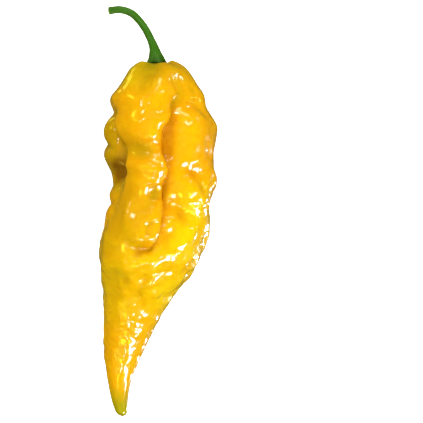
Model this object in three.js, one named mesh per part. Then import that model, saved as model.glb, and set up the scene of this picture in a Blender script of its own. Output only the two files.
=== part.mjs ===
// A long, wrinkled chilli pepper, picked and lying on its side, in millimetres with +Z up.
// The pod is a turned outline whose rings are swayed and lifted along its length, then pressed
// by long folds and raised or dented by swells. The stem is a tapered rod bent along a curve,
// and its wide foot, the calyx, stands in a shallow cup in the crown of the pod.
// +Y is the stem's end, and the origin is under the middle of the whole pepper.
import * as THREE from "three";

// Pod
const podLength = 86; // crown to tip
const podWidth = 26.6; // side to side at the belly
const podDepth = 24.6; // top to bottom at the belly, as it lies
const crownDip = 0.9; // how much lower the crown is above and below the stem than beside it
const dipLength = 0.06; // share of the pod's length over which that dip fades
const smoothCrown = 0.05; // share of the length at the crown where folds and swells fade in
const smoothTip = 0.1; // share of the length at the tip where they fade out
const deepestFold = 0.5; // share of a ring's radius, so that a fold never reaches the ring's middle
const podRings = 66;
const podSides = 64;

// Stem
const stemHeight = 12.4; // from the crown to the top of its bend
const stemRadius = 0.9; // in the middle of its length
const cutRadius = 0.84; // at the cut end
const calyxRadius = 2.1; // at the foot
const calyxEdge = 1.2; // thickness of the foot's edge, most of it down in the cup
const calyxHeight = 5.2; // above which only the stem is left
const stemRings = 26;
const stemSides = 16;

// Where the two meet
const cupDepth = 1.2;
const seatGap = 0.3; // between the foot and the cup, all round
const rimWidth = 1.6; // from the cup's edge to the top of the crown

// The way the pepper comes to rest
const restPitch = -1.5; // degrees about X
const restRoll = -2.13; // degrees about Y

// Half width of the pod along its length: [share of the length, share of half the width].
const outline = [
  [0.008, 0.41], [0.025, 0.545], [0.06, 0.69], [0.1, 0.84], [0.14, 0.88], [0.19, 0.98], [0.28, 0.97],
  [0.34, 0.93], [0.41, 0.9], [0.51, 0.94], [0.58, 0.85], [0.65, 0.665], [0.716, 0.52], [0.817, 0.34],
  [0.9, 0.19], [0.97, 0.12], [0.992, 0.085],
];

// Middle of each ring along the length: [share, shares of half the width to the right] and
// [share, shares of half the depth above the ground].
const sway = [
  [0, -0.03], [0.04, 0.01], [0.1, 0.01], [0.18, 0.06], [0.28, 0.045], [0.34, 0.09], [0.42, 0.02],
  [0.52, -0.11], [0.58, -0.18], [0.65, -0.34], [0.75, -0.53], [0.85, -0.67], [0.92, -0.71], [1, -0.65],
];
const lift = [
  [0, 1.04], [0.22, 1.01], [0.36, 0.98], [0.52, 0.94], [0.61, 0.77], [0.71, 0.56], [0.81, 0.4],
  [0.92, 0.32], [1, 0.33],
];

// Long folds between the lobes. A knot is [share of the length, degrees round from the right side
// over the top, mm deep], and wide is how far the fold spreads, in mm, to each side of its line.
const folds = [
  {
    wide: [5, 2],
    knots: [
      [0.03, 80, 0.3], [0.09, 72, 0.7], [0.132, 75, 1.3], [0.17, 79, 2.1], [0.21, 89, 3.1], [0.245, 89, 3.1],
      [0.295, 84, 2], [0.325, 87, 2], [0.36, 92, 2.5], [0.4, 88, 2.3], [0.43, 85, 1.7], [0.48, 84, 1.5],
      [0.53, 90, 1], [0.57, 94, 0],
    ],
  },
  {
    wide: [2.1, 2.3],
    knots: [
      [0.1, 166, 0.3], [0.16, 157, 1.2], [0.215, 144, 2], [0.27, 135, 2.4], [0.3, 134, 2.5],
      [0.34, 146, 1.7], [0.39, 147, 1.1], [0.425, 153, 1], [0.475, 162, 0.6], [0.53, 165, 0],
    ],
  },
  { wide: [2.4, 2.4], knots: [[0.01, 107, 0.5], [0.07, 106, 0.8], [0.11, 102, 0.4], [0.15, 100, 0]] },
  { wide: [1.9, 2.6], knots: [[0.05, 28, 0], [0.095, 26, 0.9], [0.14, 25, 1], [0.19, 14, 0]] },
  {
    wide: [4, 4],
    knots: [
      [0.03, 222, 0], [0.12, 214, 1.2], [0.25, 208, 1.9], [0.38, 214, 1.4], [0.5, 206, 0.9], [0.62, 202, 0],
    ],
  },
  {
    wide: [5, 5],
    knots: [
      [0.02, 276, 0], [0.1, 272, 1.5], [0.25, 266, 2.3], [0.42, 272, 1.9], [0.56, 262, 1], [0.68, 258, 0],
    ],
  },
  {
    wide: [3.2, 3.2],
    knots: [
      [0.04, 332, 0], [0.14, 338, 1.3], [0.26, 332, 1.9], [0.36, 340, 1.4], [0.47, 332, 0.8], [0.58, 330, 0],
    ],
  },
];

// Swells, and dents where high is negative: share of the length, degrees round, mm high, mm along
// and mm round to where each has faded, and degrees that its left end drops towards the tip.
const swells = [
  { at: 0.104, angle: 166, high: 0.8, along: 1.9, round: 4, lean: 0 },
  { at: 0.147, angle: 168, high: -0.9, along: 1.1, round: 4.5, lean: 0 },
  { at: 0.192, angle: 168, high: 0.9, along: 3, round: 4, lean: 0 },
  { at: 0.239, angle: 170, high: -0.7, along: 1, round: 4.5, lean: -15 },
  { at: 0.275, angle: 170, high: 0.8, along: 3, round: 5, lean: 0 },
  { at: 0.346, angle: 170, high: -0.6, along: 1.8, round: 5, lean: 0 },
  { at: 0.17, angle: 116, high: 0.8, along: 7, round: 6, lean: 0 },
  { at: 0.262, angle: 107, high: -1.3, along: 2.3, round: 7, lean: -6 },
  { at: 0.3, angle: 106, high: 0.8, along: 1.7, round: 6, lean: -8 },
  { at: 0.36, angle: 112, high: 0.5, along: 2.4, round: 5, lean: 30 },
  { at: 0.4, angle: 102, high: -0.7, along: 2.4, round: 2.6, lean: 0 },
  { at: 0.45, angle: 121, high: 0.8, along: 5, round: 5, lean: 0 },
  { at: 0.06, angle: 88, high: 0.5, along: 3.4, round: 2.6, lean: 0 },
  { at: 0.12, angle: 50, high: -0.9, along: 1.4, round: 5.5, lean: 0 },
  { at: 0.222, angle: 52, high: 1, along: 6.5, round: 6, lean: 0 },
  { at: 0.32, angle: 52, high: -1.4, along: 1.6, round: 4.6, lean: -12 },
  { at: 0.368, angle: 55, high: 0.8, along: 2.4, round: 6.5, lean: -24 },
  { at: 0.436, angle: 55, high: -1, along: 2, round: 4, lean: -20 },
  { at: 0.5, angle: 52, high: 0.6, along: 4, round: 5.5, lean: 0 },
  { at: 0.536, angle: 99, high: -1.5, along: 1.7, round: 4, lean: 24 },
  { at: 0.568, angle: 95, high: 0.6, along: 1.5, round: 4.5, lean: 24 },
  { at: 0.525, angle: 152, high: 0.8, along: 4, round: 5, lean: 0 },
  { at: 0.585, angle: 55, high: -0.5, along: 1.8, round: 3, lean: -20 },
  { at: 0.622, angle: 150, high: -0.6, along: 1.8, round: 3, lean: 0 },
  { at: 0.19, angle: 356, high: 0.7, along: 4, round: 5, lean: 0 },
  { at: 0.33, angle: 8, high: 0.5, along: 4, round: 4, lean: 0 },
  { at: 0.47, angle: 355, high: 0.5, along: 4.5, round: 4.5, lean: 0 },
  { at: 0.2, angle: 240, high: 1.1, along: 7, round: 4.6, lean: 0 },
  { at: 0.24, angle: 302, high: 1.2, along: 7, round: 4.6, lean: 0 },
  { at: 0.35, angle: 238, high: -0.9, along: 2, round: 4.5, lean: -15 },
  { at: 0.4, angle: 300, high: -0.9, along: 2.2, round: 4.5, lean: 15 },
  { at: 0.47, angle: 240, high: 0.8, along: 4.5, round: 4.6, lean: 0 },
  { at: 0.5, angle: 300, high: 0.7, along: 4.5, round: 4.6, lean: 0 },
];

// Stem's middle line above the crown, in shares of its height: to the right, beyond the crown, up.
const stemLine = [
  [-0.01, 0.08, 0.01], [-0.045, 0.27, 0.04], [-0.14, 0.5, 0.07], [-0.275, 0.73, 0.1], [-0.46, 0.92, 0.105],
  [-0.69, 1, 0.09], [-0.92, 0.98, 0.04],
];

const ease = (from, to, x) => THREE.MathUtils.smoothstep((x - from) / (to - from), 0, 1);
const turnBetween = (a, b) => THREE.MathUtils.euclideanModulo(a - b + 180, 360) - 180;

// A smooth value between knots [position, value, ...], the same before the first and after the last.
function along(knots, column, x) {
  const after = knots.findIndex((knot) => knot[0] > x);
  if (after === 0) return knots[0][column];
  if (after < 0) return knots.at(-1)[column];
  const knot = (i) => knots[THREE.MathUtils.clamp(i, 0, knots.length - 1)];
  const share = (x - knot(after - 1)[0]) / (knot(after)[0] - knot(after - 1)[0]);
  const [a, b, c, d] = [-2, -1, 0, 1].map((step) => knot(after + step)[column]);
  const slope = (c - a) / 2;
  const nextSlope = (d - b) / 2;
  const rise = c - b;
  const bend = 3 * rise - 2 * slope - nextSlope;
  return b + share * (slope + share * (bend + share * (slope + nextSlope - 2 * rise)));
}

const middleAcross = (share) => (along(sway, 1, share) * podWidth) / 2;
const middleUp = (share) => (along(lift, 1, share) * podDepth) / 2;

// How far the skin stands in or out at a share of the length and an angle, on a ring of this radius.
function relief(share, angle, radius) {
  const roundScale = THREE.MathUtils.degToRad(radius);
  let rise = 0;
  for (const fold of folds) {
    const off = turnBetween(angle, along(fold.knots, 1, share)) * roundScale;
    const wide = fold.wide[off < 0 ? 0 : 1];
    rise -= along(fold.knots, 2, share) * Math.exp(-((off / wide) ** 2));
  }
  for (const { at, angle: middle, high, along: length, round, lean } of swells) {
    const down = (share - at) * podLength;
    const across = turnBetween(angle, middle) * roundScale;
    const tilt = THREE.MathUtils.degToRad(lean);
    const u = (down * Math.cos(tilt) - across * Math.sin(tilt)) / length;
    const v = (across * Math.cos(tilt) + down * Math.sin(tilt)) / round;
    rise += high * Math.exp(-u * u - v * v);
  }
  const most = deepestFold * radius;
  return most * Math.tanh((rise * ease(0, smoothCrown, share) * ease(1, 1 - smoothTip, share)) / most);
}

function pod() {
  const cupRadius = calyxRadius + seatGap;
  const rim = cupRadius + rimWidth;
  const shoulder = new THREE.SplineCurve([
    new THREE.Vector2(rim, 0),
    ...outline.map(([share, half]) => new THREE.Vector2((half * podWidth) / 2, -share * podLength)),
    new THREE.Vector2(0, -podLength),
  ]);
  const profile = [
    new THREE.Vector2(0, -cupDepth),
    new THREE.Vector2(cupRadius, -cupDepth),
    ...shoulder.getSpacedPoints(podRings),
  ];
  profile.at(-1).x = 0;
  const geometry = new THREE.LatheGeometry(profile.reverse(), podSides);
  const place = geometry.getAttribute("position");
  for (let i = 0; i < place.count; i++) {
    const share = THREE.MathUtils.clamp(-place.getY(i) / podLength, 0, 1);
    const radius = Math.hypot(place.getX(i), place.getZ(i));
    const turn = Math.atan2(place.getZ(i), place.getX(i));
    const angle = THREE.MathUtils.euclideanModulo(THREE.MathUtils.radToDeg(turn), 360);
    const reach = radius > 0 ? radius + relief(share, angle, radius) : 0;
    const onCrown = ease(cupRadius, rim, radius) * ease(dipLength, 0, share);
    place.setX(i, middleAcross(share) + reach * Math.cos(turn));
    place.setY(i, place.getY(i) - crownDip * onCrown * Math.sin(turn) ** 2);
    place.setZ(i, middleUp(share) + reach * Math.sin(turn) * (podDepth / podWidth));
  }
  return geometry;
}

function stem() {
  const crown = new THREE.Vector3(middleAcross(0), 0, middleUp(0));
  const line = new THREE.CatmullRomCurve3([
    new THREE.Vector3(0, seatGap - cupDepth, 0).add(crown),
    ...stemLine.map((point) => new THREE.Vector3(...point).multiplyScalar(stemHeight).add(crown)),
  ]);
  const length = line.getLength();
  const flare = (x) => (calyxRadius - stemRadius) * (1 - ease(calyxEdge, calyxHeight, x));
  const profile = [new THREE.Vector2(0, 0)];
  for (let i = 0; i <= stemRings; i++) {
    const x = (length * i) / stemRings;
    const rod = THREE.MathUtils.lerp(stemRadius, cutRadius, x / length);
    profile.push(new THREE.Vector2(rod + flare(x), x));
  }
  profile.push(new THREE.Vector2(0, length));
  const geometry = new THREE.LatheGeometry(profile, stemSides);
  const place = geometry.getAttribute("position");
  const up = new THREE.Vector3(0, 0, 1);
  for (let i = 0; i < place.count; i++) {
    const share = Math.min(place.getY(i) / length, 1);
    const ahead = share > 0 ? line.getTangentAt(share) : new THREE.Vector3(0, 1, 0);
    const side = new THREE.Vector3().crossVectors(ahead, up).normalize();
    const over = new THREE.Vector3().crossVectors(side, ahead);
    const point = line.getPointAt(share);
    point.addScaledVector(side, place.getX(i)).addScaledVector(over, place.getZ(i));
    place.setXYZ(i, point.x, point.y, point.z);
  }
  return geometry;
}

const named = (name, geometry, look) => {
  const mesh = new THREE.Mesh(geometry, new THREE.MeshStandardMaterial(look));
  mesh.name = name;
  return mesh;
};

const grown = new THREE.Group();
grown.add(
  named("pod", pod(), { color: 0xf7b500, roughness: 0.18, metalness: 0 }),
  named("stem", stem(), { color: 0x3c7a1e, roughness: 0.45, metalness: 0 }),
);
grown.rotation.set(THREE.MathUtils.degToRad(restPitch), THREE.MathUtils.degToRad(restRoll), 0, "YXZ");

// The pepper is set down on the ground, with the origin under its middle.
const box = new THREE.Box3().setFromObject(grown, true);
const middle = box.getCenter(new THREE.Vector3());
grown.position.set(-middle.x, -middle.y, -box.min.z);

const pepper = new THREE.Group();
pepper.add(grown);

export default pepper;
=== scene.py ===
import math
import bmesh
import bpy
from mathutils import Euler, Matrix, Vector


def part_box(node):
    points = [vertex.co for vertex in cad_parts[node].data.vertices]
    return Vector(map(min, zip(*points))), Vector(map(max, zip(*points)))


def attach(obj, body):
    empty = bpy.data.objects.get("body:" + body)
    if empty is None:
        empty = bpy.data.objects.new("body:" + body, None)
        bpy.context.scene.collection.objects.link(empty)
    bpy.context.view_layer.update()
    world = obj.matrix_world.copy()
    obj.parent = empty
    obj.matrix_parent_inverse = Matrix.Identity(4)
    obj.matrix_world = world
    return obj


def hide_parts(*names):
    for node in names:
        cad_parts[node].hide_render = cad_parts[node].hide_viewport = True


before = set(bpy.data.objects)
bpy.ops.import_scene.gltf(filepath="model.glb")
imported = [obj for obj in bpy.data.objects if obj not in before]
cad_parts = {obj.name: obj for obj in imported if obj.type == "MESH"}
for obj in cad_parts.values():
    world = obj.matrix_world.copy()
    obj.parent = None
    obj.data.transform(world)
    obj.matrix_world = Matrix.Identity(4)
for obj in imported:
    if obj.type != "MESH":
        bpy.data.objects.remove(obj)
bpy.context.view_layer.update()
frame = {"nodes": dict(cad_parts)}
print("frame loaded:", ", ".join(frame["nodes"]))

mm = 0.001  # pieces are shaped in mm, and turned into metres when they are laid in place

scene = bpy.context.scene
scene.view_settings.view_transform = "Standard"


# Puts a plain value or another node's output into a socket.
def feed(tree, value, socket):
    if isinstance(value, bpy.types.NodeSocket):
        tree.links.new(value, socket)
    else:
        socket.default_value = value


def addNode(tree, kind, inputs=None, **settings):
    node = tree.nodes.new(kind)
    for key, value in settings.items():
        setattr(node, key, value)
    for key, value in (inputs or {}).items():
        feed(tree, value, node.inputs[key])
    return node


def calc(tree, operation, *values):
    node = addNode(tree, "ShaderNodeMath", operation=operation)
    for i, value in enumerate(values):
        feed(tree, value, node.inputs[i])
    return node.outputs[0]


def vectorCalc(tree, operation, *values):
    node = addNode(tree, "ShaderNodeVectorMath", operation=operation)
    for i, value in enumerate(values):
        feed(tree, value, node.inputs[i])
    return node.outputs[0]


def scaled(tree, vector, amount):
    return addNode(tree, "ShaderNodeVectorMath", {0: vector, "Scale": amount}, operation="SCALE").outputs[0]


def inTurn(tree, operation, values):
    result = values[0]
    for value in values[1:]:
        result = calc(tree, operation, result, value)
    return result


def total(tree, *values):
    return inTurn(tree, "ADD", values)


def product(tree, *values):
    return inTurn(tree, "MULTIPLY", values)


def rangeOf(tree, value, fromLow, fromHigh, toLow=0.0, toHigh=1.0, smooth=True):
    node = addNode(tree, "ShaderNodeMapRange", interpolation_type="SMOOTHSTEP" if smooth else "LINEAR")
    for i, item in enumerate((value, fromLow, fromHigh, toLow, toHigh)):
        feed(tree, item, node.inputs[i])
    return node.outputs[0]


# 0 outside a stretch and 1 inside it: it rises over the first two values and falls over the last two.
def between(tree, value, riseFrom, riseTo, fallFrom, fallTo):
    return product(tree, rangeOf(tree, value, riseFrom, riseTo), rangeOf(tree, value, fallTo, fallFrom))


# A value that follows knots (position, value) smoothly, with a Float Curve between its lowest and highest.
def curveOf(tree, value, knots, handle="AUTO"):
    low = min(knot[1] for knot in knots)
    high = max(knot[1] for knot in knots)
    node = addNode(tree, "ShaderNodeFloatCurve", {"Value": value})
    points = node.mapping.curves[0].points
    placed = [(knot[0], (knot[1] - low) / (high - low)) for knot in knots]
    if placed[0][0] > 0:
        placed.insert(0, (0.0, placed[0][1]))
    if placed[-1][0] < 1:
        placed.append((1.0, placed[-1][1]))
    while len(points) < len(placed):
        points.new(0.5, 0.5)
    for point, place in zip(points, placed):
        point.location = place
        point.handle_type = handle
    node.mapping.use_clip = False
    node.mapping.update()
    return rangeOf(tree, node.outputs[0], 0.0, 1.0, low, high, smooth=False)


def mixValue(tree, share, first, second):
    return addNode(tree, "ShaderNodeMix", {0: share, 2: first, 3: second}, data_type="FLOAT").outputs[0]


def mixColour(tree, share, first, second):
    return addNode(tree, "ShaderNodeMix", {0: share, 6: first, 7: second}, data_type="RGBA").outputs[2]


def newTree(name, kind, inputs, outputs):
    tree = bpy.data.node_groups.new(name, kind)
    for title, socketType, value in inputs:
        socket = tree.interface.new_socket(title, in_out="INPUT", socket_type="NodeSocket" + socketType)
        if value is not None:
            socket.default_value = value
    for title, socketType in outputs:
        tree.interface.new_socket(title, in_out="OUTPUT", socket_type="NodeSocket" + socketType)
    return tree, tree.nodes.new("NodeGroupInput").outputs, tree.nodes.new("NodeGroupOutput").inputs


def useGroup(tree, group, inputs):
    kind = "GeometryNodeGroup" if tree.bl_idname == "GeometryNodeTree" else "ShaderNodeGroup"
    node = tree.nodes.new(kind)
    node.node_tree = group
    for key, value in inputs.items():
        feed(tree, value, node.inputs[key])
    return node.outputs


# Degrees from a middle to a turn, from -180 to 180.
def turnBetween(tree, turn, middle):
    return calc(tree, "WRAP", calc(tree, "SUBTRACT", turn, middle), 180.0, -180.0)


def degreesFrom(tree, turn, middle):
    return calc(tree, "ABSOLUTE", turnBetween(tree, turn, middle))


# 1 within some near degrees of a middle, and low beyond some far ones, either way round.
def facing(tree, turn, middle, near, far, low=0.0):
    return rangeOf(tree, degreesFrom(tree, turn, middle), far, near, low, 1.0)


def noiseAt(tree, place, seed, scale, detail):
    return addNode(tree, "ShaderNodeTexNoise", {"Vector": place, "W": seed, "Scale": scale, "Detail": detail},
                   noise_dimensions="4D").outputs[0]


# A place on a ring, for noise that has to meet itself where the turn starts again at 0.
def ringPlace(tree, angle, size, along):
    return addNode(tree, "ShaderNodeCombineXYZ", {
        0: calc(tree, "MULTIPLY", calc(tree, "COSINE", angle), size),
        1: calc(tree, "MULTIPLY", calc(tree, "SINE", angle), size),
        2: along}).outputs[0]


def readAttribute(tree, name):
    node = addNode(tree, "GeometryNodeInputNamedAttribute", {"Name": name}, data_type="FLOAT")
    return node.outputs["Attribute"]


def keepAttribute(tree, geometry, name, value, dataType="FLOAT"):
    node = addNode(tree, "GeometryNodeStoreNamedAttribute", {"Geometry": geometry, "Name": name},
                   data_type=dataType, domain="POINT")
    feed(tree, value, node.inputs["Value"])
    return node.outputs["Geometry"]


# A blank point's own x, y and z, and its distance from the axis.
def blankPlace(tree):
    position = addNode(tree, "GeometryNodeInputPosition").outputs[0]
    flat = addNode(tree, "ShaderNodeSeparateXYZ", {0: position}).outputs
    squares = total(tree, calc(tree, "POWER", flat[0], 2.0), calc(tree, "POWER", flat[2], 2.0))
    return flat, calc(tree, "SQRT", squares)


def moveTo(tree, geometry, place):
    return addNode(tree, "GeometryNodeSetPosition", {"Geometry": geometry, "Position": place}).outputs[0]


def pushOut(tree, geometry, amount):
    offset = scaled(tree, addNode(tree, "GeometryNodeInputNormal").outputs[0], amount)
    return addNode(tree, "GeometryNodeSetPosition", {"Geometry": geometry, "Offset": offset}).outputs[0]


def finishTree(tree, geometry, material, socket):
    smooth = addNode(tree, "GeometryNodeSetShadeSmooth", {"Geometry": geometry}).outputs[0]
    whole = addNode(tree, "GeometryNodeRealizeInstances", {"Geometry": smooth}).outputs[0]
    painted = addNode(tree, "GeometryNodeSetMaterial", {"Geometry": whole, "Material": material}).outputs[0]
    feed(tree, painted, socket)


# Runs a tree on a blank and gives back one plain mesh, with the modifier gone.
def shapeWith(tree, blank, values):
    modifier = blank.modifiers.new(tree.name, "NODES")
    modifier.node_group = tree
    for item in tree.interface.items_tree:
        if item.item_type == "SOCKET" and item.in_out == "INPUT" and item.name in values:
            modifier[item.identifier] = values[item.name]
    depsgraph = bpy.context.evaluated_depsgraph_get()
    mesh = bpy.data.meshes.new_from_object(blank.evaluated_get(depsgraph))
    blank.modifiers.clear()
    blank.data = mesh
    mesh.name = blank.name
    return blank


# A smooth line through points, each a tuple, at a step counted in points.
def through(points, step):
    i = min(int(step), len(points) - 2)
    t = step - i
    a, b, c, d = (points[min(max(k, 0), len(points) - 1)] for k in (i - 1, i, i + 1, i + 2))
    return tuple(
        0.5 * (2 * q + (r - p) * t + (2 * p - 5 * q + 4 * r - s) * t * t + (3 * q - p - 3 * r + s) * t ** 3)
        for p, q, r, s in zip(a, b, c, d)
    )


# A closed body turned about Y from a profile of (radius, y), whose first and last points lie on the axis.
# Each point keeps its angle in degrees as the attribute turn, and its y as the attribute reach.
def turnedBlank(name, profile, sides):
    mesh = bpy.data.meshes.new(name)
    build = bmesh.new()
    rings = []
    for radius, y in profile[1:-1]:
        ring = []
        for k in range(sides):
            angle = 2 * math.pi * k / sides
            ring.append(build.verts.new((radius * math.cos(angle), y, radius * math.sin(angle))))
        rings.append(ring)
    first = build.verts.new((0, profile[0][1], 0))
    last = build.verts.new((0, profile[-1][1], 0))
    for k in range(sides):
        following = (k + 1) % sides
        build.faces.new((first, rings[0][k], rings[0][following]))
        build.faces.new((last, rings[-1][following], rings[-1][k]))
        for a, b in zip(rings, rings[1:]):
            build.faces.new((a[k], b[k], b[following], a[following]))
    bmesh.ops.recalc_face_normals(build, faces=build.faces)
    build.to_mesh(mesh)
    build.free()
    piece = bpy.data.objects.new(name, mesh)
    scene.collection.objects.link(piece)
    turn = mesh.attributes.new("turn", "FLOAT", "POINT")
    reach = mesh.attributes.new("reach", "FLOAT", "POINT")
    for i, vertex in enumerate(mesh.vertices):
        turn.data[i].value = math.degrees(math.atan2(vertex.co.z, vertex.co.x)) % 360
        reach.data[i].value = vertex.co.y
    return piece


# Soft mottling with a finer grain in it, shared by the skin and the stem. Place is in mm.
def mottleGroup():
    tree, given, result = newTree("mottle", "ShaderNodeTree", [
        ("Place", "Vector", None), ("Patch size", "Float", 5.0), ("Grain size", "Float", 0.5),
        ("Grain share", "Float", 0.3)], [("Mask", "Float"), ("Height", "Float")])
    patch = addNode(tree, "ShaderNodeTexNoise", {
        "Vector": given["Place"], "Scale": calc(tree, "DIVIDE", 1.0, given["Patch size"]), "Detail": 3.0})
    grain = addNode(tree, "ShaderNodeTexNoise", {
        "Vector": given["Place"], "Scale": calc(tree, "DIVIDE", 1.0, given["Grain size"]), "Detail": 2.0})
    mixed = mixValue(tree, given["Grain share"], patch.outputs[0], grain.outputs[0])
    feed(tree, rangeOf(tree, mixed, 0.35, 0.65), result["Mask"])
    feed(tree, grain.outputs[0], result["Height"])
    return tree


def newMaterial(name):
    material = bpy.data.materials.new(name)
    material.use_nodes = True
    tree = material.node_tree
    coordinates = addNode(tree, "ShaderNodeTexCoord").outputs["Object"]
    place = addNode(tree, "ShaderNodeMapping", {"Vector": coordinates, "Scale": (1 / mm, 1 / mm, 1 / mm)})
    return material, tree, tree.nodes["Principled BSDF"], place.outputs[0]


# The finish that is the same all over a piece: gloss, the light that sinks in, and the depth of the bumps.
def setFinish(tree, shader, look, height):
    bump = addNode(tree, "ShaderNodeBump", {"Height": height, "Strength": look["bumpStrength"],
                                            "Distance": look["bumpDepth"] * mm})
    feed(tree, bump.outputs[0], shader.inputs["Normal"])
    shader.inputs["Subsurface Weight"].default_value = look["glow"]
    shader.inputs["Subsurface Radius"].default_value = look["glowColour"]
    shader.inputs["Subsurface Scale"].default_value = look["glowDepth"] * mm
    shader.inputs["Specular IOR Level"].default_value = look["specular"]
    shader.inputs["Coat Weight"].default_value = look["coat"]
    shader.inputs["Coat Roughness"].default_value = look["coatRoughness"]


pod = {
    "length": 86.0,
    "width": 26.6,
    "depth": 24.6,
    "cupRadius": 2.2,
    "cupDepth": 1.2,
    "rimRadius": 4.0,
    "crownDip": 0.9,  # how much lower the crown is above and below the stem than beside it
    "puckers": 5.0,  # small waves round the crown
    "puckerHeight": 0.22,
    "lipWidth": 1.6,  # how far from a fold's line the lobe leans over it
    "pitch": -1.5,  # degrees about X and about Y at which the pepper rests
    "roll": -2.13,
    "rings": 380,
    "sides": 250,
    "lumpHeight": 0.22,
    "lumpScale": 0.2,
    "dimpleHeight": 0.3,
    "dimpleSize": 3.3,
    "patchScale": 0.09,  # of the patches in which the dimples are deeper
    "wrinkleHeight": 0.16,
    "wrinkleScale": 0.5,
    "streakHeight": 0.22,  # of the fine streaks round the stem
    "seed": 3.7,
    "golden": (0.98, 0.435, 0.001, 1.0),
    # lemon is painted light where it follows the right side and the lower half, and a random lighter tone in
    # patches
    "lemon": (1.0, 0.65, 0.001, 1.0),
    # orange and olive are painted shade in the hollows
    "orange": (0.68, 0.265, 0.001, 1.0),
    # olive is also painted shade on the waist of the main lobe and on the bulges at the left
    "olive": (0.58, 0.33, 0.001, 1.0),
    # brown is painted shade in the recessed pocket at the left
    "brown": (0.24, 0.09, 0.001, 1.0),
    "green": (0.40, 0.36, 0.003, 1.0),
    "pale": (1.0, 0.72, 0.01, 1.0),
    "paleShare": 0.1,
    "roughness": (0.16, 0.3),
    "bumpStrength": 0.22,
    "bumpDepth": 0.12,
    "glow": 0.25,  # light that sinks into the skin and comes out again
    "glowColour": (1.0, 0.62, 0.06),
    "glowDepth": 1.3,
    "specular": 0.1,
    "coat": 1.0,
    "coatRoughness": 0.08,
}

# share of the length, share of half the width
podOutline = [
    (0.008, 0.41), (0.025, 0.545), (0.06, 0.69), (0.1, 0.84), (0.14, 0.88), (0.19, 0.98), (0.28, 0.97),
    (0.34, 0.93), (0.41, 0.9), (0.51, 0.94), (0.58, 0.85), (0.65, 0.665), (0.716, 0.525), (0.817, 0.36),
    (0.9, 0.215), (0.97, 0.13), (0.992, 0.09),
]
# the middle of each ring: share of the length, then shares of half the width to the right
podSway = [
    (0, -0.03), (0.04, 0.01), (0.1, 0.01), (0.18, 0.06), (0.28, 0.045), (0.34, 0.09), (0.42, 0.02),
    (0.52, -0.11), (0.58, -0.18), (0.65, -0.34), (0.75, -0.54), (0.85, -0.685), (0.92, -0.73), (1, -0.67),
]
# share of the length, then shares of half the depth above the ground
podLift = [
    (0, 1.04), (0.22, 1.01), (0.36, 0.98), (0.52, 0.94), (0.61, 0.77), (0.71, 0.56), (0.81, 0.4),
    (0.92, 0.32), (1, 0.33),
]
# long folds between the lobes: how wide they are in mm to the right and to the left of their line, and mm
# that the lobe beside it leans over it, to the right where negative; then knots of share of the length,
# degrees round from the right side over the top, and mm deep
podFolds = [
    (5.6, 1.3, -1.4, [
        (0.02, 62, 0.4), (0.08, 61, 0.9), (0.105, 67, 1.3), (0.135, 75, 1.9), (0.17, 79, 2.8),
        (0.21, 89, 3.7), (0.245, 89, 3.5), (0.295, 84, 2.5), (0.33, 87, 2.2), (0.36, 91, 2.3),
        (0.4, 88, 2.5), (0.43, 85, 1.9), (0.48, 84, 1.6), (0.53, 90, 1.1), (0.57, 94, 0)]),
    (2.2, 1.0, -0.5, [(0.325, 92, 0), (0.35, 97, 0.8), (0.37, 103, 1.3), (0.39, 101, 0.8), (0.405, 96, 0)]),
    (1.8, 1.0, -0.4, [(0.435, 89, 0), (0.455, 94, 0.7), (0.475, 98, 1.0), (0.495, 95, 0.6), (0.51, 92, 0)]),
    (1.4, 2.8, 1.2, [
        (0.1, 166, 0.4), (0.16, 157, 1.5), (0.215, 144, 2.5), (0.27, 135, 3.2), (0.3, 134, 3.5),
        (0.335, 145, 1.6), (0.37, 147, 0.5), (0.425, 155, 0.25), (0.475, 162, 0.15), (0.53, 165, 0)]),
    (2.2, 2.6, 0, [(0.01, 103, 0.4), (0.05, 110, 0.6), (0.1, 111, 0.4), (0.16, 108, 0)]),
    (2.4, 3.0, 0, [(0.05, 34, 0), (0.095, 32, 0.5), (0.135, 31, 0.4), (0.17, 28, 0)]),
    (3.6, 3.6, 0, [(0.03, 222, 0), (0.12, 214, 1.3), (0.25, 208, 2.0), (0.38, 214, 1.5), (0.5, 206, 1.0),
                   (0.62, 202, 0)]),
    (4.6, 4.6, 0, [(0.02, 276, 0), (0.1, 272, 1.5), (0.25, 266, 2.3), (0.42, 272, 1.9), (0.56, 262, 1.0),
                   (0.68, 258, 0)]),
    (3.0, 3.4, 0, [(0.04, 332, 0), (0.14, 338, 1.2), (0.26, 332, 1.5), (0.36, 340, 1.1), (0.47, 332, 0.8),
                   (0.58, 330, 0)]),
]
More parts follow.
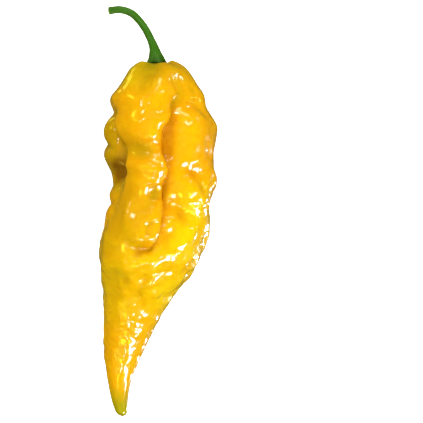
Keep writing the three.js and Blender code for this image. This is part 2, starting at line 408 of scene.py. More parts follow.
# swells, and dents where the height is negative: share of the length, degrees round, mm high, mm along,
# mm round, and degrees that the left end drops towards the tip
podSwells = [
    (0.104, 166, 0.8, 1.9, 4.0, 0), (0.147, 168, -0.9, 1.1, 4.5, 0), (0.192, 168, 0.9, 3.0, 4.0, 0),
    (0.239, 170, -0.9, 1.0, 4.5, -15), (0.266, 170, 0.8, 2.4, 4.6, 0), (0.313, 152, -2.2, 3.0, 4.2, 20),
    (0.35, 172, -0.6, 1.3, 4.0, 0), (0.374, 166, 0.7, 1.6, 3.0, 0), (0.402, 168, -0.5, 1.1, 3.0, 0),
    (0.428, 167, 0.5, 1.8, 3.0, 0), (0.165, 112, 0.9, 6.5, 6.0, 0), (0.252, 112, -2.0, 2.8, 7.5, -6),
    (0.302, 108, 1.3, 1.8, 6.0, -8), (0.352, 118, 0.5, 3.4, 4.0, 30), (0.395, 101, -1.0, 2.6, 2.8, 30),
    (0.45, 120, 0.9, 5.0, 5.0, 0), (0.24, 73, -0.9, 6.0, 3.6, 0), (0.06, 88, 0.5, 3.4, 2.6, 0),
    (0.07, 130, 0.4, 3.6, 2.6, 0), (0.617, 104, 0.8, 2.4, 1.8, 0), (0.622, 75, 0.8, 2.8, 1.9, 0),
    (0.625, 90, -0.4, 2.4, 1.4, 0), (0.66, 62, 0.5, 2.0, 1.8, 0), (0.585, 122, 0.5, 1.6, 2.4, 0),
    (0.575, 141, 0.4, 3.0, 3.0, 0), (0.46, 73, 0.6, 1.6, 1.8, 0), (0.505, 70, -0.5, 1.6, 2.4, 0),
    (0.375, 78, 0.5, 1.5, 1.7, 0), (0.3, 66, 0.4, 2.0, 3.0, 0), (0.12, 50, -0.9, 1.8, 5.5, 0),
    (0.222, 52, 1.0, 6.5, 6.0, 0), (0.32, 50, -1.5, 2.0, 4.4, -14), (0.368, 55, 1.0, 2.4, 6.5, -24),
    (0.436, 56, -1.5, 2.2, 4.2, -20), (0.5, 52, 0.6, 4.0, 5.5, 0), (0.533, 101, -2.0, 1.9, 3.6, 10),
    (0.572, 100, 0.9, 1.6, 4.4, 10), (0.525, 152, 0.7, 4.0, 5.0, 0), (0.6, 150, 0.5, 3.0, 5.0, 0),
    (0.435, 124, 0.5, 2.6, 1.0, 8), (0.585, 55, -0.5, 1.8, 3.0, -20), (0.19, 356, 0.7, 4.0, 5.0, 0),
    (0.33, 8, 0.5, 4.0, 4.0, 0), (0.47, 355, 0.5, 4.5, 4.5, 0), (0.2, 240, 1.1, 7.0, 4.6, 0),
    (0.24, 302, 1.2, 7.0, 4.6, 0), (0.35, 238, -0.9, 2.0, 4.5, -15), (0.4, 300, -0.9, 2.2, 4.5, 15),
    (0.47, 240, 0.8, 4.5, 4.6, 0), (0.5, 300, 0.7, 4.5, 4.6, 0),
]


def podProfile():
    half = pod["width"] / 2
    shoulder = [(pod["rimRadius"], 0.0)]
    shoulder += [(wide * half, -share * pod["length"]) for share, wide in podOutline]
    shoulder.append((0.0, -pod["length"]))
    steps = 4000
    fine = [through(shoulder, (len(shoulder) - 1) * i / steps) for i in range(steps + 1)]
    lengths = [0.0]
    for a, b in zip(fine, fine[1:]):
        lengths.append(lengths[-1] + math.dist(a, b))
    floorY = -pod["cupDepth"]
    profile = [(0.0, floorY), (0.5 * pod["cupRadius"], floorY), (pod["cupRadius"], floorY)]
    cupSteps = 6
    for i in range(1, cupSteps):
        part = i / cupSteps
        radius = pod["cupRadius"] + (pod["rimRadius"] - pod["cupRadius"]) * part
        profile.append((radius, floorY * (1 - math.sin(part * math.pi / 2)) ** 1.4))
    k = 0
    for i in range(pod["rings"]):  # evenly spaced along the outline
        goal = lengths[-1] * i / pod["rings"]
        while lengths[k] < goal:
            k += 1
        profile.append(fine[k])
    profile.append((0.0, -pod["length"]))
    return profile


def swellGroup():
    tree, given, result = newTree("swell", "GeometryNodeTree", [
        ("Share", "Float", 0.0), ("Turn", "Float", 0.0), ("Radius", "Float", 1.0), ("Length", "Float", 86.0),
        ("At", "Float", 0.0), ("Middle", "Float", 0.0), ("High", "Float", 1.0), ("Along", "Float", 1.0),
        ("Round", "Float", 1.0), ("Lean", "Float", 0.0)], [("Rise", "Float")])
    down = product(tree, calc(tree, "SUBTRACT", given["Share"], given["At"]), given["Length"])
    off = turnBetween(tree, given["Turn"], given["Middle"])
    across = product(tree, calc(tree, "RADIANS", off), given["Radius"])
    lean = calc(tree, "RADIANS", given["Lean"])
    cosine = calc(tree, "COSINE", lean)
    sine = calc(tree, "SINE", lean)
    u = calc(tree, "SUBTRACT", product(tree, down, cosine), product(tree, across, sine))
    v = total(tree, product(tree, across, cosine), product(tree, down, sine))
    u = calc(tree, "POWER", calc(tree, "DIVIDE", u, given["Along"]), 2.0)
    v = calc(tree, "POWER", calc(tree, "DIVIDE", v, given["Round"]), 2.0)
    fade = calc(tree, "EXPONENT", product(tree, total(tree, u, v), -1.0))
    feed(tree, product(tree, fade, given["High"]), result["Rise"])
    return tree


def foldGroup():
    tree, given, result = newTree("fold", "GeometryNodeTree", [
        ("Turn", "Float", 0.0), ("Radius", "Float", 1.0), ("Line", "Float", 90.0), ("Deep", "Float", 1.0),
        ("Wide right", "Float", 2.0), ("Wide left", "Float", 2.0), ("Push", "Float", 0.0)],
        [("Rise", "Float"), ("Shift", "Float")])
    off = turnBetween(tree, given["Turn"], given["Line"])
    off = product(tree, calc(tree, "RADIANS", off), given["Radius"])
    onLeft = calc(tree, "GREATER_THAN", off, 0.0)
    wide = mixValue(tree, onLeft, given["Wide right"], given["Wide left"])
    fade = calc(tree, "POWER", calc(tree, "DIVIDE", off, wide), 2.0)
    fade = calc(tree, "EXPONENT", product(tree, fade, -1.0))
    feed(tree, product(tree, fade, given["Deep"], -1.0), result["Rise"])

    # the lobe beside the fold leans over it
    lip = total(tree, off, calc(tree, "SIGN", given["Push"]))
    lip = product(tree, calc(tree, "POWER", calc(tree, "DIVIDE", lip, pod["lipWidth"]), 2.0), -1.0)
    deep = rangeOf(tree, given["Deep"], 0.3, 2.4)
    feed(tree, product(tree, calc(tree, "EXPONENT", lip), given["Push"], deep), result["Shift"])
    return tree


# Rounded lumps with creases between them, from -1 in the creases to 1 on top.
def lumpGroup():
    tree, given, result = newTree("lumps", "GeometryNodeTree", [
        ("Place", "Vector", None), ("Size", "Float", 5.0), ("Seed", "Float", 0.0)], [("Rise", "Float")])
    bend = addNode(tree, "ShaderNodeTexNoise", {"Vector": given["Place"], "Scale": 0.12, "Detail": 1.0})
    bent = vectorCalc(tree, "MULTIPLY_ADD", bend.outputs["Color"], (4.0, 4.0, 4.0), given["Place"])
    scale = calc(tree, "DIVIDE", 1.0, given["Size"])
    cells = addNode(tree, "ShaderNodeTexVoronoi", {"Vector": bent, "W": given["Seed"], "Scale": scale,
                                                   "Smoothness": 0.8, "Randomness": 0.9},
                    voronoi_dimensions="4D", feature="SMOOTH_F1")
    feed(tree, rangeOf(tree, cells.outputs["Distance"], 0.05, 0.6, 1.0, -1.0, smooth=False), result["Rise"])
    return tree


# How far the folds and swells raise the skin, in mm, and how far round the lobes lean, in radians.
def podRelief(tree, given, share, turn, radius):
    swell, fold = swellGroup(), foldGroup()
    rises = []
    shifts = []
    for right, left, push, knots in podFolds:
        line = curveOf(tree, share, [(at, middle) for at, middle, deep in knots])
        depth = curveOf(tree, share, [(at, deep) for at, middle, deep in knots], "AUTO_CLAMPED")
        made = useGroup(tree, fold, {"Turn": turn, "Radius": radius, "Line": line, "Deep": depth,
                                     "Wide right": right, "Wide left": left, "Push": push})
        rises.append(made["Rise"])
        if push:
            shifts.append(made["Shift"])
    for at, middle, high, along, around, lean in podSwells:
        rises.append(useGroup(tree, swell, {
            "Share": share, "Turn": turn, "Radius": radius, "Length": given["Length"], "At": at,
            "Middle": middle, "High": high, "Along": along, "Round": around, "Lean": lean})["Rise"])
    fadeIn = between(tree, share, 0.0, 0.05, 0.9, 1.0)
    relief = product(tree, total(tree, *rises), fadeIn)
    most = calc(tree, "MAXIMUM", product(tree, radius, 0.5), 0.001)  # no fold is deeper than half the radius
    relief = product(tree, calc(tree, "TANH", calc(tree, "DIVIDE", relief, most)), most)
    swing = calc(tree, "DIVIDE", total(tree, *shifts), calc(tree, "MAXIMUM", radius, 1.0))
    return relief, product(tree, swing, fadeIn)


# The relief of the skin itself, in mm: broad lumps and dimples on the body, fine wrinkles down to near
# the tip, and streaks round the stem.
def podGrain(tree, given, share, turn):
    place = addNode(tree, "GeometryNodeInputPosition").outputs[0]
    seed = given["Seed"]
    onBody = between(tree, share, 0.03, 0.14, 0.58, 0.74)
    offTip = product(tree, rangeOf(tree, share, 0.02, 0.1), rangeOf(tree, share, 0.95, 0.8, 0.15, 1.0))

    # smoother on the main lobe, towards the stem and low on the left
    fromLobe = calc(tree, "POWER", calc(tree, "DIVIDE", calc(tree, "SUBTRACT", turn, 118.0), 34.0), 2.0)
    onLobe = calc(tree, "EXPONENT", product(tree, fromLobe, -1.0))
    onLobe = product(tree, onLobe, rangeOf(tree, share, 0.56, 0.42))
    rough = rangeOf(tree, onLobe, 0.0, 0.8, 1.0, 0.12)
    rough = product(tree, rough, rangeOf(tree, share, 0.2, 0.36, 0.35, 1.0))
    lowLeft = facing(tree, turn, 146.0, 14.0, 36.0)
    lowLeft = product(tree, lowLeft, between(tree, share, 0.5, 0.55, 0.63, 0.68))
    rough = product(tree, rough, rangeOf(tree, lowLeft, 0.0, 1.0, 1.0, 0.25))

    big = rangeOf(tree, noiseAt(tree, place, seed, pod["lumpScale"], 1.0), 0.25, 0.75, -1.0, 1.0)
    big = product(tree, big, onBody, given["Lump height"], rangeOf(tree, rough, 0.0, 1.0, 0.5, 1.5))
    patches = rangeOf(tree, noiseAt(tree, place, seed, pod["patchScale"], 1.0), 0.35, 0.65, 0.5, 1.0)
    small = useGroup(tree, lumpGroup(), {"Place": place, "Size": pod["dimpleSize"], "Seed": seed})["Rise"]
    small = product(tree, small, onBody, given["Dimple height"], patches, rough, -1.0)  # lumps become dimples

    # the wrinkles are calmer on the left, and high up on the right
    onLeft = product(tree, between(tree, turn, 92.0, 125.0, 190.0, 230.0), rangeOf(tree, share, 0.58, 0.48))
    ripple = product(tree, offTip, rangeOf(tree, onLeft, 0.0, 1.0, 1.0, 0.3))
    lively = calc(tree, "MAXIMUM", rangeOf(tree, share, 0.24, 0.34), rangeOf(tree, share, 0.15, 0.09))
    lively = calc(tree, "MAXIMUM", lively, rangeOf(tree, degreesFrom(tree, turn, 20.0), 46.0, 56.0))
    ripple = product(tree, ripple, rangeOf(tree, lively, 0.0, 1.0, 0.3, 1.0))
    stretched = vectorCalc(tree, "MULTIPLY", place, (0.7, 1.0, 0.7))
    fine = calc(tree, "SUBTRACT", noiseAt(tree, stretched, seed, pod["wrinkleScale"], 1.6), 0.5)
    fine = product(tree, fine, ripple, product(tree, given["Wrinkle height"], 4.0))

    radial = ringPlace(tree, calc(tree, "RADIANS", turn), 8.0, product(tree, share, 55.0))
    streaks = calc(tree, "SUBTRACT", noiseAt(tree, radial, seed, 1.0, 1.5), 0.5)
    onShoulder = between(tree, share, 0.008, 0.03, 0.07, 0.13)
    streaks = product(tree, streaks, product(tree, onShoulder, pod["streakHeight"]))
    return total(tree, big, small, fine, streaks)


# Where the skin is painted, for the material to read: painted light on the right, painted shade on the waist,
# the left bulges and in the pocket, which side's hollows take the olive shade, and the green beside the stem.
def podMasks(tree, share, turn):
    # painted light: lemon on the right side, and on the left shoulder by the stem
    onRight = product(tree, facing(tree, turn, 10.0, 40.0, 72.0), rangeOf(tree, share, 0.28, 0.42))
    shoulderLight = product(tree, facing(tree, turn, 138.0, 10.0, 26.0), rangeOf(tree, share, 0.1, 0.05))
    # where the painted shade in the hollows is olive rather than orange
    onLeft = product(tree, between(tree, turn, 94.0, 100.0, 190.0, 205.0), rangeOf(tree, share, 0.5, 0.46))
    # painted shade on the waist of the main lobe
    onWaist = product(tree, facing(tree, turn, 128.0, 20.0, 44.0),
                      between(tree, share, 0.31, 0.39, 0.51, 0.59))
    # painted shade on the bulges at the left
    bulgeShade = product(tree, between(tree, turn, 138.0, 156.0, 195.0, 215.0),
                      between(tree, share, 0.12, 0.16, 0.34, 0.42))
    return {
        "onRight": calc(tree, "MAXIMUM", onRight, shoulderLight),
        "onLeft": calc(tree, "MAXIMUM", onLeft, rangeOf(tree, share, 0.16, 0.1)),
        "onWaist": calc(tree, "MAXIMUM", product(tree, onWaist, 0.5), bulgeShade),
        # painted shade in the pocket
        "inPocket": product(tree, between(tree, turn, 124.0, 142.0, 164.0, 186.0),
                            between(tree, share, 0.24, 0.3, 0.33, 0.36)),
        # the skin's own green round the stem, strongest along the valley at 106 degrees, where it is painted
        # shade as well
        "nearStem": product(tree, rangeOf(tree, share, 0.12, 0.0, 0.0, 0.7),
                            facing(tree, turn, 106.0, 6.0, 36.0, 0.45)),
    }


def podTree():
    tree, given, result = newTree("podShape", "GeometryNodeTree", [
        ("Blank", "Geometry", None), ("Length", "Float", 86.0), ("Width", "Float", 26.0),
        ("Depth", "Float", 24.0), ("Crown dip", "Float", 1.0), ("Lump height", "Float", 0.5),
        ("Dimple height", "Float", 0.2), ("Wrinkle height", "Float", 0.05), ("Seed", "Float", 0.0),
        ("Skin", "Material", None)],
        [("Pod", "Geometry")])
    turn = readAttribute(tree, "turn")
    reach = readAttribute(tree, "reach")
    share = product(tree, calc(tree, "DIVIDE", reach, given["Length"]), -1.0)
    share = addNode(tree, "ShaderNodeClamp", {"Value": share}).outputs[0]
    flat, radius = blankPlace(tree)
    relief, swing = podRelief(tree, given, share, turn, radius)

    angle = total(tree, calc(tree, "RADIANS", turn), swing)
    sine = calc(tree, "SINE", angle)
    out = total(tree, radius, relief)
    sway = product(tree, curveOf(tree, share, podSway), product(tree, given["Width"], 0.5))
    lift = product(tree, curveOf(tree, share, podLift), product(tree, given["Depth"], 0.5))
    flatten = calc(tree, "DIVIDE", given["Depth"], given["Width"])
    x = calc(tree, "MULTIPLY_ADD", out, calc(tree, "COSINE", angle), sway)
    z = calc(tree, "MULTIPLY_ADD", product(tree, out, sine), flatten, lift)
    onCrown = product(tree, rangeOf(tree, radius, pod["cupRadius"], pod["rimRadius"]),
                      rangeOf(tree, share, 0.06, 0.0))
    dip = product(tree, calc(tree, "POWER", sine, 2.0), onCrown, given["Crown dip"])
    pucker = calc(tree, "COSINE", calc(tree, "MULTIPLY_ADD", angle, pod["puckers"], 0.6))
    y = total(tree, calc(tree, "SUBTRACT", flat[1], dip), product(tree, pucker, onCrown, pod["puckerHeight"]))
    place = addNode(tree, "ShaderNodeCombineXYZ", {0: x, 1: y, 2: z}).outputs[0]
    formed = moveTo(tree, given["Blank"], place)
    formed = keepAttribute(tree, formed, "share", share)
    formed = keepAttribute(tree, formed, "relief", relief)

    share = readAttribute(tree, "share")
    grain = podGrain(tree, given, share, turn)
    skinned = keepAttribute(tree, pushOut(tree, formed, grain), "grain", grain)
    for name, mask in podMasks(tree, share, turn).items():
        skinned = keepAttribute(tree, skinned, name, mask)
    finishTree(tree, skinned, given["Skin"], result["Pod"])
    return tree


def skinMaterial(mottle):
    material, tree, shader, place = newMaterial("yellowSkin")
    coarse = useGroup(tree, mottle, {
        "Place": place, "Patch size": 9.0, "Grain size": 1.6, "Grain share": 0.3})
    fine = useGroup(tree, mottle, {
        "Place": place, "Patch size": 1.3, "Grain size": 0.35, "Grain share": 0.5})
    names = ("relief", "grain", "share", "onRight", "onLeft", "onWaist", "inPocket", "nearStem")
    kept = {name: addNode(tree, "ShaderNodeAttribute", attribute_name=name).outputs["Fac"] for name in names}
    share = kept["share"]

    # painted light: lemon yellow on the right, on the left shoulder by the stem and on the lower half, golden
    # elsewhere; random lemon patches are mixed in too
    lit = calc(tree, "MAXIMUM", kept["onRight"], rangeOf(tree, share, 0.36, 0.56, 0.0, 0.85))
    lit = product(tree, lit, rangeOf(tree, share, 0.66, 0.8, 1.0, 0.35))
    lemon = product(tree, lit, rangeOf(tree, coarse["Mask"], 0.0, 1.0, 0.55, 1.0))
    lemon = calc(tree, "MAXIMUM", lemon, product(tree, coarse["Mask"], 0.3))
    colour = mixColour(tree, lemon, pod["golden"], pod["lemon"])

    # painted shade: the hollows darken to orange, or to olive on the left, the waist and the left bulges take
    # olive and the pocket brown; green at the tip and beside the stem
    low = total(tree, kept["relief"], product(tree, kept["grain"], 0.6))
    deep = mixColour(tree, kept["onLeft"], pod["orange"], pod["olive"])
    # painted shade: the lower the skin lies, the more of the hollow shade it takes
    colour = mixColour(tree, rangeOf(tree, low, 0.25, -2.0), colour, deep)
    # painted shade: olive on the waist and the left bulges
    colour = mixColour(tree, kept["onWaist"], colour, pod["olive"])
    # painted shade: brown in the pocket, where the skin lies low
    pocket = product(tree, kept["inPocket"], rangeOf(tree, low, 0.3, -1.0))
    colour = mixColour(tree, pocket, colour, pod["brown"])
    unripe = rangeOf(tree, total(tree, share, product(tree, fine["Mask"], 0.03)), 0.9, 1.0)
    # beside the stem the green is partly the skin's own and partly painted shade along the valley
    colour = mixColour(tree, calc(tree, "MAXIMUM", unripe, kept["nearStem"]), colour, pod["green"])
    colour = mixColour(tree, product(tree, fine["Mask"], pod["paleShare"]), colour, pod["pale"])
    feed(tree, colour, shader.inputs["Base Color"])
    smoothest, roughest = pod["roughness"]
    feed(tree, rangeOf(tree, fine["Mask"], 0.0, 1.0, smoothest, roughest), shader.inputs["Roughness"])
    setFinish(tree, shader, pod, fine["Height"])
    return material


stem = {
    "height": 12.4,
    "radius": 0.9,
    "cutRadius": 0.84,
    "seat": -0.9,  # where the stem's line starts, from the top of the crown
    "sides": 72,
    "rings": 190,
    "ribs": 5.0,
    "ribHeight": 0.07,
    "fineRibs": 11.0,
    "fineRibShare": 0.35,
    "twist": 0.05,  # radians for each mm of the stem
    "lobes": 5.0,  # of the calyx
    "lobeHeight": 0.22,
    "wearHeight": 0.16,
    "wearScale": 0.9,
    "seed": 1.3,
    "green": (0.035, 0.16, 0.003, 1.0),
    "dark": (0.014, 0.08, 0.003, 1.0),
    "grey": (0.06, 0.20, 0.02, 1.0),
    "cut": (0.30, 0.36, 0.11, 1.0),
    "roughness": (0.32, 0.5),
    "bumpStrength": 0.5,
    "bumpDepth": 0.15,
    "glow": 0.08,
    "glowColour": (0.3, 0.8, 0.1),
    "glowDepth": 0.8,
    "specular": 0.3,
    "coat": 0.0,
    "coatRoughness": 0.03,
}

# above the crown, in shares of the height: to the right, beyond the crown, up
stemLine = [
    (-0.01, 0.08, 0.01), (-0.045, 0.27, 0.04), (-0.14, 0.5, 0.07), (-0.275, 0.73, 0.1), (-0.46, 0.92, 0.105),
    (-0.69, 1.0, 0.09), (-0.92, 0.98, 0.04),
]
# the calyx, from the middle of its underside out over its edge and up to the stem: mm out, mm along
calyxProfile = [
    (0.0, 0.1), (1.0, 0.1), (1.85, 0.12), (2.2, 0.3), (2.36, 0.6), (2.34, 0.85), (2.18, 1.1), (1.96, 1.5),
    (1.68, 2.2), (1.4, 3.0), (1.16, 4.0), (1.0, 5.0), (0.92, 6.0),
]


def stemPath():
    crown = Vector((podSway[0][1] * pod["width"] / 2, 0.0, podLift[0][1] * pod["depth"] / 2))
    points = [Vector((0.0, stem["seat"], 0.0))] + [Vector(point) * stem["height"] for point in stemLine]
    knots = [tuple(point + crown) for point in points]
    count = 160
    curve = bpy.data.curves.new("stemPath", "CURVE")
    curve.dimensions = "3D"
    spline = curve.splines.new("POLY")
    spline.points.add(count)
    for i in range(count + 1):
        spline.points[i].co = (*through(knots, (len(knots) - 1) * i / count), 1.0)
    path = bpy.data.objects.new("stemPath", curve)
    scene.collection.objects.link(path)
    return path, sum(math.dist(spline.points[i].co, spline.points[i + 1].co) for i in range(count))


def stemProfile(length):
    calyxRings = 80
    profile = []
    for i in range(calyxRings + 1):
        profile.append(through(calyxProfile, (len(calyxProfile) - 1) * i / calyxRings))
    start = calyxProfile[-1][1]
    count = stem["rings"] - calyxRings
    for i in range(1, count + 1):
        x = start + (length - 0.12 - start) * i / count
        part = x / length
        radius = stem["radius"] + (stem["cutRadius"] - stem["radius"]) * part
        flare = 0.12 * max(0.0, (part - 0.93) / 0.07) ** 2  # the stem widens just before the cut
        profile.append((radius + 0.02 * (1 - i / count) + flare, x))
    edge = profile[-1][0]
    profile += [(edge * 0.97, length - 0.05), (edge * 0.9, length), (edge * 0.72, length - 0.05),
                (edge * 0.45, length - 0.12), (edge * 0.2, length - 0.1), (0.0, length - 0.1)]
    profile[0] = (0.0, profile[0][1])
    return profile


def stemTree():
    tree, given, result = newTree("stemShape", "GeometryNodeTree", [
        ("Blank", "Geometry", None), ("Path", "Object", None), ("Length", "Float", 20.0),
        ("Rib height", "Float", 0.05), ("Lobe height", "Float", 0.2), ("Seed", "Float", 0.0),
        ("Skin", "Material", None)], [("Stem", "Geometry")])
    path = addNode(tree, "GeometryNodeObjectInfo", {"Object": given["Path"]}).outputs["Geometry"]
    turn = calc(tree, "RADIANS", readAttribute(tree, "turn"))
    reach = readAttribute(tree, "reach")
    flat, radius = blankPlace(tree)

    # ribs run up the stem and twist a little; the calyx has blunt lobes, which droop over the crown
    twisted = calc(tree, "MULTIPLY_ADD", reach, stem["twist"], turn)
    broad = calc(tree, "COSINE", product(tree, twisted, stem["ribs"]))
    fine = calc(tree, "COSINE", product(tree, twisted, stem["fineRibs"]))
    ribs = total(tree, broad, product(tree, fine, stem["fineRibShare"]))
    ribs = product(tree, ribs, given["Rib height"], rangeOf(tree, radius, 0.3, 0.9))
    onCalyx = product(tree, rangeOf(tree, reach, 3.2, 0.6), rangeOf(tree, radius, 1.2, 2.1))
    lobes = calc(tree, "COSINE", calc(tree, "MULTIPLY_ADD", turn, stem["lobes"], 0.9))
    lobes = product(tree, lobes, onCalyx, given["Lobe height"])
    wide = calc(tree, "DIVIDE", total(tree, radius, ribs, lobes), calc(tree, "MAXIMUM", radius, 0.001))

    # each ring of the blank is carried along the path
    sample = addNode(tree, "GeometryNodeSampleCurve", {"Curves": path}, mode="LENGTH")
    droop = product(tree, lobes, -1.3)
    feed(tree, calc(tree, "MAXIMUM", total(tree, reach, droop), 0.0), sample.inputs["Length"])
    ahead = sample.outputs["Tangent"]
    side = vectorCalc(tree, "CROSS_PRODUCT", ahead, (0.0, 0.0, 1.0))
    side = vectorCalc(tree, "NORMALIZE", side)
    over = vectorCalc(tree, "CROSS_PRODUCT", side, ahead)
    moved = sample.outputs["Position"]
    for direction, amount in ((side, flat[0]), (over, flat[2])):
        moved = vectorCalc(tree, "ADD", moved, scaled(tree, direction, product(tree, amount, wide)))
    formed = moveTo(tree, given["Blank"], moved)
    along = calc(tree, "DIVIDE", reach, given["Length"])
    formed = keepAttribute(tree, formed, "along", along)
    around = ringPlace(tree, turn, 5.0, product(tree, along, 6.0))
    formed = keepAttribute(tree, formed, "around", around, "FLOAT_VECTOR")

    place = addNode(tree, "GeometryNodeInputPosition").outputs[0]
    wear = calc(tree, "SUBTRACT", noiseAt(tree, place, given["Seed"], stem["wearScale"], 3.0), 0.5)
    worn = pushOut(tree, formed, product(tree, wear, stem["wearHeight"]))
    finishTree(tree, worn, given["Skin"], result["Stem"])
    return tree


def stemMaterial(mottle):
    material, tree, shader, place = newMaterial("greenStem")
    spots = useGroup(tree, mottle, {
        "Place": place, "Patch size": 1.6, "Grain size": 0.22, "Grain share": 0.4})
    along = addNode(tree, "ShaderNodeAttribute", attribute_name="along").outputs["Fac"]
    around = addNode(tree, "ShaderNodeAttribute", attribute_name="around").outputs["Vector"]
    fibres = addNode(tree, "ShaderNodeTexNoise", {"Vector": around, "Scale": 1.0, "Detail": 4.0}).outputs[0]
    colour = mixColour(tree, rangeOf(tree, fibres, 0.4, 0.65), stem["green"], stem["grey"])
    colour = mixColour(tree, rangeOf(tree, along, 0.16, 0.0, 0.0, 0.75), colour, stem["dark"])
    colour = mixColour(tree, product(tree, spots["Mask"], 0.2), colour, stem["dark"])
    colour = mixColour(tree, rangeOf(tree, along, 0.985, 0.997), colour, stem["cut"])
    feed(tree, colour, shader.inputs["Base Color"])
    smoothest, roughest = stem["roughness"]
    feed(tree, rangeOf(tree, spots["Mask"], 0.0, 1.0, smoothest, roughest), shader.inputs["Roughness"])
    setFinish(tree, shader, stem, total(tree, fibres, product(tree, spots["Height"], 0.3)))
    return material


mottle = mottleGroup()
skin = skinMaterial(mottle)
green = stemMaterial(mottle)
print("materials made")

podPiece = shapeWith(podTree(), turnedBlank("podSkin", podProfile(), pod["sides"]), {
    "Length": pod["length"], "Width": pod["width"], "Depth": pod["depth"], "Crown dip": pod["crownDip"],
    "Lump height": pod["lumpHeight"], "Dimple height": pod["dimpleHeight"],
    "Wrinkle height": pod["wrinkleHeight"], "Seed": pod["seed"], "Skin": skin})
print("pod shaped:", len(podPiece.data.polygons), "faces")

path, stemLength = stemPath()
stemPiece = shapeWith(stemTree(), turnedBlank("stemAndCalyx", stemProfile(stemLength), stem["sides"]), {
    "Path": path, "Length": stemLength, "Rib height": stem["ribHeight"], "Lobe height": stem["lobeHeight"],
    "Seed": stem["seed"], "Skin": green})
bpy.data.objects.remove(path)
print("stem shaped:", len(stemPiece.data.polygons), "faces")

# Both pieces are tipped the way the pepper rests, then set where the CAD pod lies.
tipped = (Euler((0.0, math.radians(pod["roll"]), 0.0)).to_matrix()
          @ Euler((math.radians(pod["pitch"]), 0.0, 0.0)).to_matrix())
for piece in (podPiece, stemPiece):
    for vertex in piece.data.vertices:
        vertex.co = tipped @ vertex.co * mm
low, high = (Vector(corner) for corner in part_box("pod"))
corners = [vertex.co for vertex in podPiece.data.vertices]
shapeLow = Vector(min(co[i] for co in corners) for i in range(3))
shapeHigh = Vector(max(co[i] for co in corners) for i in range(3))
shift = (low + high - shapeLow - shapeHigh) / 2
shift.z = low.z - shapeLow.z
for piece in (podPiece, stemPiece):
    for vertex in piece.data.vertices:
        vertex.co += shift
    piece.data.update()
print("pieces laid where the CAD pod rests")

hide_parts("pod")
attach(podPiece, "root")
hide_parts("stem")
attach(stemPiece, "root")


white = (1.0, 1.0, 1.0, 1.0)

stage = {
    "floorSize": 3.0,
    "floorColour": (0.93, 0.93, 0.93, 1.0),
    "floorRoughness": 0.8,
    "floorGlow": 1.0,
    "roomStrength": 0.2,
    "roomTint": (1.0, 0.84, 0.16, 1.0),
    "aimHeight": 0.012,
    "cameraHeight": 1.148,
    "cameraLens": 400.0,
    "cameraSide": 0.0129,
}

bpy.ops.mesh.primitive_plane_add(size=stage["floorSize"])
floor = bpy.context.object
floor.name = "floor"
paint = bpy.data.materials.new("paleFloor")
paint.use_nodes = True
paintShader = paint.node_tree.nodes["Principled BSDF"]
paintShader.inputs["Base Color"].default_value = stage["floorColour"]
paintShader.inputs["Roughness"].default_value = stage["floorRoughness"]
paintShader.inputs["Emission Color"].default_value = white
paintShader.inputs["Emission Strength"].default_value = stage["floorGlow"]
floor.data.materials.append(paint)
floor.visible_glossy = False  # keeps white rims off the glossy skin
floor.visible_diffuse = False
floor.visible_shadow = False

# The room is white to the camera, and gives the pepper a dim, warm light.
world = bpy.data.worlds.new("paleRoom")
world.use_nodes = True
room = world.node_tree
seen = addNode(room, "ShaderNodeLightPath").outputs["Is Camera Ray"]
background = room.nodes["Background"]
bright = rangeOf(room, seen, 0.0, 1.0, stage["roomStrength"], 1.0, smooth=False)
feed(room, bright, background.inputs["Strength"])
feed(room, mixColour(room, seen, stage["roomTint"], white), background.inputs["Color"])
scene.world = world

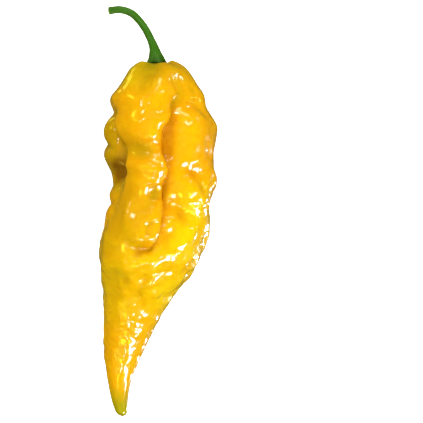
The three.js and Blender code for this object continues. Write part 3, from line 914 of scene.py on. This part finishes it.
# name, watts, (width, height) in m, place in m, colour, and whether it shows only in the gloss, where the
# others light the skin and don't show in it; each is aimed at the middle of the pepper
studio = [
    ("keyRight", 1.95, (0.12, 0.12), (0.40, -0.10, 0.33), (1.0, 1.0, 1.0), False),
    ("fillFront", 1.25, (0.5, 0.5), (-0.16, -0.06, 0.70), (1.0, 1.0, 1.0), False),
    ("fillCrown", 1.5, (0.24, 0.24), (-0.16, 0.42, 0.28), (1.0, 1.0, 1.0), False),
    ("fillTail", 0.85, (0.24, 0.24), (-0.22, -0.36, 0.34), (1.0, 1.0, 1.0), False),
    ("windowRight", 0.1, (0.05, 0.03), (0.45, 0.10, 0.04), (1.0, 0.9, 0.3), True),
    ("windowTail", 0.5, (0.06, 0.05), (0.38, -0.20, 0.12), (1.0, 1.0, 1.0), True),
    ("windowCone", 1.3, (0.11, 0.09), (0.28, -0.28, 0.20), (1.0, 1.0, 1.0), True),
    ("windowTip", 1.0, (0.10, 0.08), (0.20, -0.33, 0.20), (1.0, 1.0, 1.0), True),
    ("cardRight", 0.3, (0.02, 0.07), (0.30, -0.055, -0.26), (1.0, 1.0, 1.0), True),
    ("cardTail", 0.5, (0.02, 0.11), (0.28, -0.17, -0.26), (1.0, 1.0, 1.0), True),
    ("windowCrown", 0.1, (0.03, 0.02), (0.28, 0.34, 0.05), (1.0, 1.0, 1.0), True),
    ("glintTop", 0.2, (0.06, 0.04), (0.0, 0.40, 0.30), (1.0, 1.0, 1.0), True),
    ("glintLeft", 0.1, (0.06, 0.04), (-0.26, 0.22, 0.34), (1.0, 1.0, 1.0), True),
    ("glowCrown", 0.3, (0.14, 0.10), (0.05, 0.42, 0.20), (1.0, 0.95, 0.55), True),
    ("glowTail", 0.25, (0.08, 0.07), (0.16, -0.30, 0.30), (1.0, 0.85, 0.05), True),
    ("glowCheek", 0.10, (0.06, 0.05), (-0.22, -0.30, 0.26), (1.0, 0.85, 0.05), True),
    ("glintLow", 0.18, (0.05, 0.04), (-0.01, -0.34, 0.30), (1.0, 1.0, 1.0), True),
    ("glowLow", 0.35, (0.10, 0.08), (-0.10, -0.26, 0.36), (1.0, 0.85, 0.05), True),
    ("glowShoulder", 0.15, (0.12, 0.12), (-0.22, 0.27, -0.18), (1.0, 0.9, 0.1), True),
    ("glowLeft", 0.12, (0.06, 0.06), (-0.32, 0.26, 0.18), (1.0, 0.85, 0.05), True),
]
for name, watts, size, place, colour, glossy in studio:
    data = bpy.data.lights.new(name, "AREA")
    data.shape = "RECTANGLE"
    data.size, data.size_y = size
    data.energy = watts
    data.color = colour
    lamp = bpy.data.objects.new(name, data)
    lamp.location = place
    look = Vector((0, 0, stage["aimHeight"])) - Vector(place)
    lamp.rotation_euler = look.to_track_quat("-Z", "Y").to_euler()
    lamp.visible_glossy = glossy
    lamp.visible_diffuse = not glossy
    lamp.visible_camera = False
    scene.collection.objects.link(lamp)

eye = bpy.data.cameras.new("view")
eye.lens = stage["cameraLens"]
eye.clip_start = 0.01
camera = bpy.data.objects.new("view", eye)
camera.location = (stage["cameraSide"], 0.0, stage["cameraHeight"])
scene.collection.objects.link(camera)
scene.camera = camera
print("stage set")
